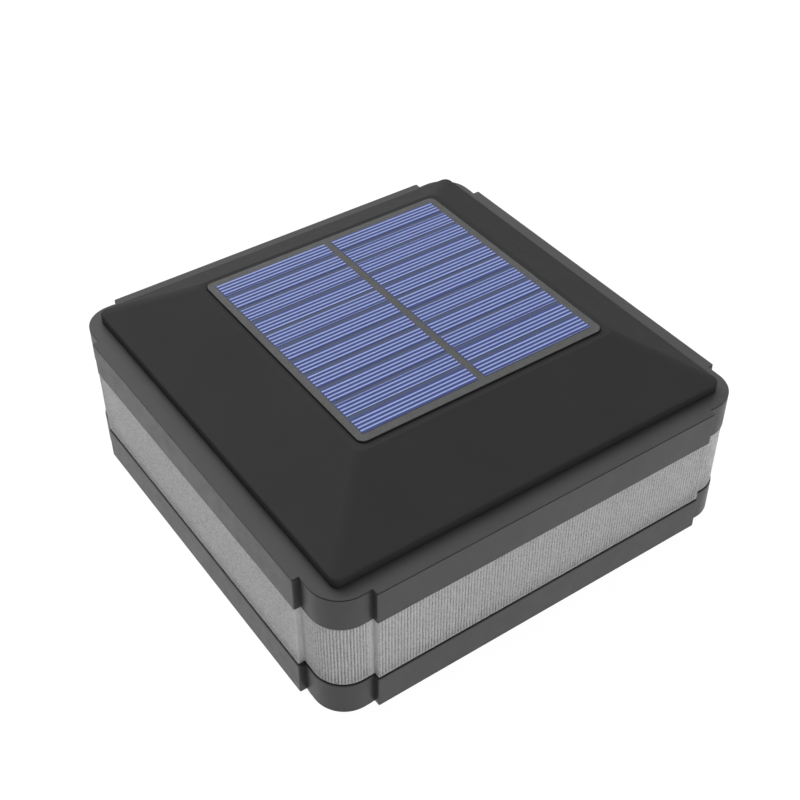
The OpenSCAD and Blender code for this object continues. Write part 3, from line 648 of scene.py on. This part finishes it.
def makeCap():
    low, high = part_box("top_cap")
    foot, lip, top = high.x, low.z + cap["lip"], high.z
    slope = top - cap["bevelDrop"]
    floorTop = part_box("panel_tape")[0].z
    floorLow = floorTop - cap["floor"]
    rise = (slope - lip) / (foot - cap["topHalf"])
    innerTop = cap["topHalf"] + (slope - floorLow) / rise - cap["wall"]
    skirt = lip + (foot - cap["footIn"] - cap["wall"]) * rise
    pocket, pocketR = cap["pocket"], cap["pocketCorner"]
    hem = pocket - cap["pocketBite"]
    stations = roundSection([
        station(foot, low.z, cap["footCorner"], soft=cap["footEdge"]),
        station(foot, lip, cap["footCorner"], soft=cap["lipRound"]),
        station(cap["topHalf"], slope, cap["topCorner"], soft=cap["slopeEdge"]),
        station(cap["topHalf"] - cap["bevel"], top, cap["topCorner"], soft=cap["slopeEdge"]),
        station(pocket, top, pocketR, soft=cap["pocketEdge"]), station(pocket, floorTop, pocketR),
        station(hem, floorTop - cap["pocketDrop"], pocketR), station(hem, floorLow, pocketR),
        station(innerTop, floorLow, cap["topCorner"], soft=cap["insideEdge"]),
        station(cap["footIn"], skirt, cap["footInCorner"], soft=cap["insideEdge"]),
        station(cap["footIn"], low.z, cap["footInCorner"], soft=cap["footEdge"])])
    hole = (0, 0, [(cap["leadHole"], floorLow), (cap["leadHole"], floorTop)])
    floor = plate(lambda d: squarePlan(pocket - d, pocketR), floorLow, floorTop, cap["floorEdge"],
                  [hole])
    boss = [(cap["boss"], low.z), (cap["boss"], low.z + cap["bossHigh"])]
    at = cap["bossAt"]
    bosses = [turned(x, y, boss) for x in (-at, at) for y in (-at, at)]
    makePiece("cap_shell", [loft(stations, bandPlan), floor] + bosses, [capPlastic], "head",
              ["top_cap"])


makeCap()
print("top cap made")

# solar panel: backing board, two columns of cells with light fingers, films between, clear face
panel = dict(
    cell=rgb(20, 42, 118), cellSheen=rgb(28, 52, 134), gapTone=rgb(56, 70, 108),
    backing=rgb(74, 74, 71), side=rgb(12, 12, 12),
    haze=(rgb(84, 88, 94), rgb(104, 108, 114)), clear=0.1,
    columns=2, midGap=2.4 * mm, rows=11, rowPitch=7.31 * mm, firstGap=-32.5 * mm, rowGap=1.45 * mm,
    endPast=(0.1 * mm, 0.5 * mm),          # how far the first and last rows go past the CAD cells
    cellEdge=0.04 * mm, film=0.03 * mm, filmEdge=0.01 * mm,
    finger=rgb(158, 176, 232), fingerWide=0.53 * mm, fingerPitch=1.42 * mm, fingerHigh=0.05 * mm,
    fingerBite=0.01 * mm, fingerEdge=0.02 * mm, fingerInset=0.1 * mm,
    cutInset=0.05 * mm, thinnest=0.1 * mm,     # for a finger that a cell's edge cuts
    # from a cell's edge to its first finger in mm, as the cells are cut from a longer strip
    firstFinger=((1.1, 0.2, 0.9, 0.95, 0.7, 0.85, -0.05, 0.45, 0.05, 0.9, -0.1),
                 (-0.1, 0.4, 0, 0.8, 0.1, -0.15, 0.65, 0.45, 0.25, 0.2, 1)),
    corner=2.3 * mm, faceEdge=0.12 * mm, faceLift=0.02 * mm,
)


def cellSilicon():
    mat, tree, body = newSurface("cellSilicon", Roughness=0.35)
    grains = spread(tree, pores(tree, 420), 0, 1, 0.0, 0.8)
    tree.links.new(mixed(tree, grains, panel["cellSheen"], panel["cell"]), body.inputs["Base Color"])
    bumped(tree, body, noise(tree, 1800, 2), 0.15, 0.01 * mm)
    return mat


def backingBoard():
    mat, tree, body = newSurface("backingBoard", Roughness=0.6)
    weave = joined(tree, lines(tree, 420, "X"), lines(tree, 420, "Y"))
    tone = spread(tree, noise(tree, 600, 4), 0, 1)
    face = mixed(tree, tone, shade(panel["backing"], 0.85), shade(panel["backing"], 1.12))
    geo = node(tree, "NewGeometry")
    split = node(tree, "SeparateXYZ")
    tree.links.new(geo.outputs["Normal"], split.inputs[0])
    # faces that stand upright, the board's sides, are near black
    flat = spread(tree, joined(tree, split.outputs["Z"], 0.0, "ABSOLUTE"), 0, 1, 0.4, 0.8)
    tree.links.new(mixed(tree, flat, panel["side"], face), body.inputs["Base Color"])
    bumped(tree, body, weave, 0.3, 0.02 * mm)
    return mat


def clearResin():
    mat, tree, body = newSurface("clearResin", IOR=1.45)
    body.inputs["Alpha"].default_value = panel["clear"]
    haze = spread(tree, noise(tree, 300, 3), 0, 1)
    tree.links.new(mixed(tree, haze, *panel["haze"]), body.inputs["Base Color"])
    tree.links.new(spread(tree, noise(tree, 80, 3), 0.25, 0.4), body.inputs["Roughness"])
    bumped(tree, body, noise(tree, 60, 2), 0.1, 0.02 * mm)
    return mat


# one cell (material 0) with its fingers (material 1), between two corners
def makeCell(low, high, first):
    under, tuck, cut = high.z - panel["fingerHigh"], panel["fingerInset"], panel["cutInset"]
    parts = [(*softBox(low, (high.x, high.y, under), panel["cellEdge"], 1), 0)]
    at, half = low.y + first, panel["fingerWide"] / 2
    while at - half < high.y:
        start, end = max(at - half, low.y + cut), min(at + half, high.y - cut)
        if end - start > panel["thinnest"]:
            parts.append((*softBox((low.x + tuck, start, under - panel["fingerBite"]),
                                   (high.x - tuck, end, high.z), panel["fingerEdge"], 1), 1))
        at += panel["fingerPitch"]
    return parts


def makePanel():
    low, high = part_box("solar_cells")
    columns, rows, half = panel["columns"], panel["rows"], panel["rowGap"] / 2
    wide = (high.x - low.x - (columns - 1) * panel["midGap"]) / columns
    slabs = []
    for column in range(columns):
        x0 = low.x + column * (wide + panel["midGap"])
        x1 = x0 + wide
        for row in range(rows):
            gap = panel["firstGap"] + row * panel["rowPitch"]      # middle of the gap after this row
            start, end = gap - panel["rowPitch"] + half, gap - half
            if row == 0:
                start = low.y - panel["endPast"][0]
            if row == rows - 1:
                end = high.y + panel["endPast"][1]
            else:      # film in the gap, material 2
                slabs.append((*softBox((x0, gap - half, low.z), (x1, gap + half, low.z + panel["film"]),
                                       panel["filmEdge"], 1), 2))
            slabs += makeCell(Vector((x0, start, low.z)), Vector((x1, end, high.z)),
                              panel["firstFinger"][column][row] * mm)
    silver = mottled("fingerSilver", panel["finger"], 0.88, 0.5, 700, 3000, 0.3)
    film = mottled("gapFilm", panel["gapTone"], 0.85, 0.55, 900, 1500, 0.2)
    makePiece("cell_rows", slabs, [cellSilicon(), silver, film], "head", ["solar_cells"])

    low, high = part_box("panel_glaze")
    face = plate(lambda d: squarePlan(high.x - d, panel["corner"]), low.z + panel["faceLift"], high.z,
                 panel["faceEdge"])
    makePiece("panel_face", [face], [clearResin()], "head", ["panel_glaze"])
    dress(backingBoard(), "panel_board")


makePanel()
print("solar panel made")

# what the shells hold: CAD parts in their own finishes
inside = dict(
    rubber=rgb(24, 24, 25), white=rgb(236, 236, 231), tape=rgb(226, 224, 216), foam=rgb(48, 48, 50),
    steel=(0.62, 0.62, 0.63), brass=(0.72, 0.52, 0.24), switch=(0.55, 0.55, 0.56),
    wrap=rgb(62, 104, 88), board=rgb(30, 92, 58), chip=rgb(28, 28, 29), coil=rgb(52, 50, 50),
    nylon=rgb(226, 222, 208), lamp=rgb(240, 208, 96), lampBoard=rgb(228, 230, 226),
    redLead=rgb(176, 38, 34), whiteLead=rgb(224, 224, 220), blackLead=rgb(30, 30, 31),
)
sealRubber = plastic("sealRubber", inside["rubber"], 0.7, 0.5, 0.25 * mm, specular=0.25)
whitePlastic = plastic("whitePlastic", inside["white"], 0.35, 0.15, vary=0.02, wearAndHighlight=0.02)
dress(sealRubber, "base_seal", "cap_seal")
dress(foam("coverFoam", inside["foam"], 0.5 * mm), "cover_seal")
dress(foam("tapeFoam", inside["tape"], 0.3 * mm), "panel_tape")
dress(whitePlastic, "reflector_sheet", "light_tray", "battery_cover")
dress(metal("screwSteel", inside["steel"], 0.28),
      "cap_screws", "tray_screws", "cover_screws", "board_screws", "switch_screws")
dress(metal("springSteel", inside["steel"], 0.22), "battery_spring")
dress(metal("contactBrass", inside["brass"], 0.3), "negative_plate", "positive_plate")
dress(metal("switchMetal", inside["switch"], 0.35), "switch_housing")
dress(plastic("batteryWrap", inside["wrap"], 0.25, 0.1, 1.2 * mm, vary=0.04), "battery_cell")
dress(plastic("chipBlack", inside["chip"], 0.55, 0.5, 0.1 * mm), "charge_chip")
dress(plastic("coilFerrite", inside["coil"], 0.6, 0.6, 0.15 * mm), "power_coil")
dress(plastic("socketNylon", inside["nylon"], 0.4, 0.1), "lead_sockets")
dress(plastic("knobBlack", inside["chip"], 0.4, 0.4), "switch_knob")
dress(plastic("leadRed", inside["redLead"], 0.35, 0.05), "battery_leads", "panel_leads")
dress(plastic("leadWhite", inside["whiteLead"], 0.35, 0.05), "lamp_leads")
dress(plastic("leadBlack", inside["blackLead"], 0.35, 0.05), "switch_leads")
dress(plastic("lampBoardWhite", inside["lampBoard"], 0.3, 0.1, wearAndHighlight=0.0), "lamp_boards")
dress(plastic("boardGreen", inside["board"], 0.3, 0.3, wearAndHighlight=0.0), "control_board")
dress(plastic("lampLens", inside["lamp"], 0.2, 0.05, vary=0.03, wearAndHighlight=0.0), "lamps")
print("inner parts dressed")

# light and background: a sky of broad lobes over a white floor that keeps the object's shadow
light = dict(
    floor=0.86,                            # the floor as light bounces off it
    floorGlow=0.96, floorShade=0.08,       # and as it is seen
    floorHalf=4, floorDrop=0.1 * mm,
    # azimuth from +X and height in degrees, sharpness, strength
    lobes=[(100, 40, 14, 5.1), (50, 40, 14, 0.8), (105, 12, 14, 3.6),
           (280, 45, 14, 1.0), (290, 10, 14, 3.6), (0, 90, 8, 1.6)],
)


def seenDirectly(tree):
    path = node(tree, "LightPath")
    seen = joined(tree, path.outputs["Is Camera Ray"], path.outputs["Is Glossy Ray"], "MAXIMUM")
    return joined(tree, seen, path.outputs["Is Transmission Ray"], "MAXIMUM")


def makeFloor():
    mat, tree, out = newMaterial("floorWhite")
    paper = node(tree, "BsdfDiffuse")
    paper.inputs["Color"].default_value = (light["floor"],) * 3 + (1,)
    pale = node(tree, "BsdfDiffuse")
    pale.inputs["Color"].default_value = (light["floorShade"],) * 3 + (1,)
    glow = node(tree, "Emission", Strength=light["floorGlow"])
    both = node(tree, "AddShader")
    mix = node(tree, "MixShader")
    tree.links.new(glow.outputs[0], both.inputs[0])
    tree.links.new(pale.outputs[0], both.inputs[1])
    tree.links.new(seenDirectly(tree), mix.inputs[0])
    tree.links.new(paper.outputs[0], mix.inputs[1])
    tree.links.new(both.outputs[0], mix.inputs[2])
    tree.links.new(mix.outputs[0], out.inputs["Surface"])
    mesh = bpy.data.meshes.new("floor")
    half, z = light["floorHalf"], -light["floorDrop"]
    mesh.from_pydata([(-half, -half, z), (half, -half, z), (half, half, z), (-half, half, z)],
                     [], [(0, 1, 2, 3)])
    mesh.materials.append(mat)
    floor = bpy.data.objects.new("floor", mesh)
    bpy.context.scene.collection.objects.link(floor)


makeFloor()


def makeSky():
    world = bpy.data.worlds.new("world")
    bpy.context.scene.world = world
    world.use_nodes = True
    tree = world.node_tree
    coord = node(tree, "TexCoord")
    total = 0.0
    for azimuth, height, sharp, strength in light["lobes"]:
        az, el = math.radians(azimuth), math.radians(height)
        toward = node(tree, "VectorMath", operation="DOT_PRODUCT")
        toward.inputs[1].default_value = (
            math.cos(az) * math.cos(el), math.sin(az) * math.cos(el), math.sin(el))
        tree.links.new(coord.outputs["Generated"], toward.inputs[0])
        facing = joined(tree, toward.outputs["Value"], 0.0, "MAXIMUM")
        lobe = joined(tree, joined(tree, facing, sharp, "POWER"), strength)
        total = joined(tree, total, lobe, "ADD")
    seen = seenDirectly(tree)      # white wherever it is looked at
    unseen = joined(tree, 1.0, seen, "SUBTRACT")
    total = joined(tree, joined(tree, total, unseen), seen, "ADD")
    tree.links.new(total, tree.nodes["Background"].inputs["Strength"])
    tree.nodes["Background"].inputs["Color"].default_value = (1, 1, 1, 1)


makeSky()
bpy.context.scene.view_settings.view_transform = "Standard"
print("light and floor made")
